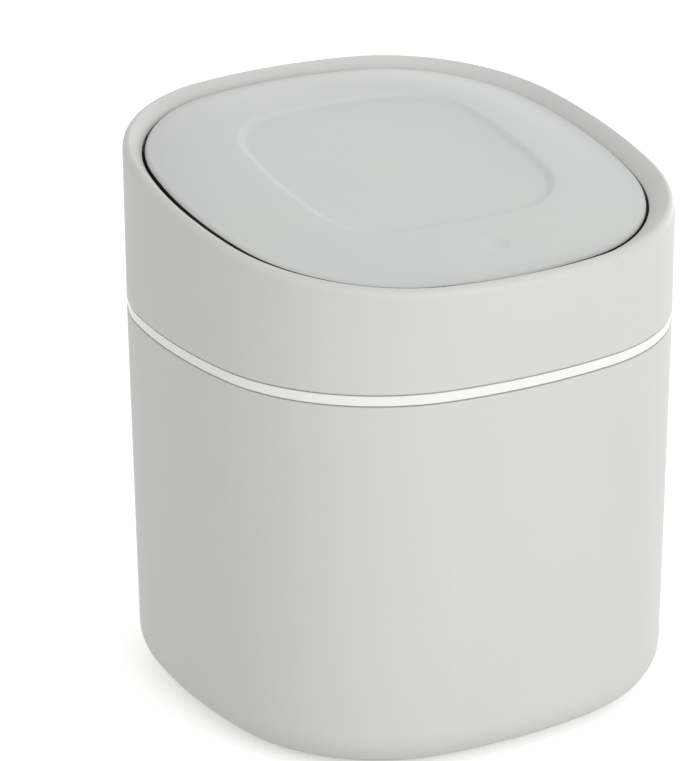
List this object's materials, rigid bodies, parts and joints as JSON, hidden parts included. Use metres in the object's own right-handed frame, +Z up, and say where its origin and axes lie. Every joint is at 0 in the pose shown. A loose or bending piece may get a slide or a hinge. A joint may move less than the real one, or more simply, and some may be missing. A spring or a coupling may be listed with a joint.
{
  "type": "push top countertop bin",
  "caption": "Small countertop bin with a rounded square plan, a slanted sprung push-top lid in a raised rim, and a pale bag ring between tub and head.",
  "frame": {"origin": "middle of the base, on the surface the bin stands on", "axes": "+Z up; -Y towards the low front edge with the press mark; +Y towards the hinge at the high back edge; +X to the right seen from the front"},
  "size_m": [0.15, 0.15, 0.1699],
  "materials": {
    "warm_grey_plastic": "fine matt moulded texture, light warm grey",
    "white_gloss_plastic": "smooth gloss, white",
    "white_plastic": "smooth satin, white",
    "soft_pad": "soft translucent pale elastomer",
    "plated_steel": "zinc plated",
    "spring_steel": "drawn spring wire"
  },
  "bodies": {
    "bin": {"body_shell": "warm_grey_plastic", "foot_pad_1": "soft_pad", "foot_pad_2": "soft_pad", "foot_pad_3": "soft_pad", "foot_pad_4": "soft_pad"},
    "ring": {"bag_ring": "white_gloss_plastic"},
    "head": {"collar": "warm_grey_plastic", "head_frame": "white_plastic", "frame_screws": "plated_steel", "hinge_pin_left": "spring_steel", "hinge_pin_right": "spring_steel", "torsion_spring_left": "spring_steel", "torsion_spring_right": "spring_steel", "latch_case": "white_plastic", "latch_spring": "spring_steel", "latch_follower": "spring_steel", "latch_screws": "plated_steel"},
    "lid": {"lid_top": "warm_grey_plastic", "lid_under": "white_plastic", "lid_screws": "plated_steel", "lid_striker": "white_plastic", "striker_screws": "plated_steel"},
    "latch": {"latch_slider": "white_plastic"}
  },
  "joints": [
    {"name": "ring_lift", "type": "slide", "parent": "bin", "child": "ring", "axis": [0, 0, 1], "range_m": [0, 0.06]},
    {"name": "head_lift", "type": "slide", "parent": "ring", "child": "head", "axis": [0, 0, 1], "range_m": [0, 0.08]},
    {"name": "lid_hinge", "type": "hinge", "parent": "head", "child": "lid", "pos_m": [0, 0.052, 0.16139], "axis": [-1, 0, 0], "range_deg": [0, 45]},
    {"name": "latch_slide", "type": "slide", "parent": "head", "child": "latch", "axis": [0, -0.1518, 0.9884], "range_m": [-0.002, 0.0015], "stiffness_N_per_m": 300, "deforming": ["latch_spring"]}
  ]
}
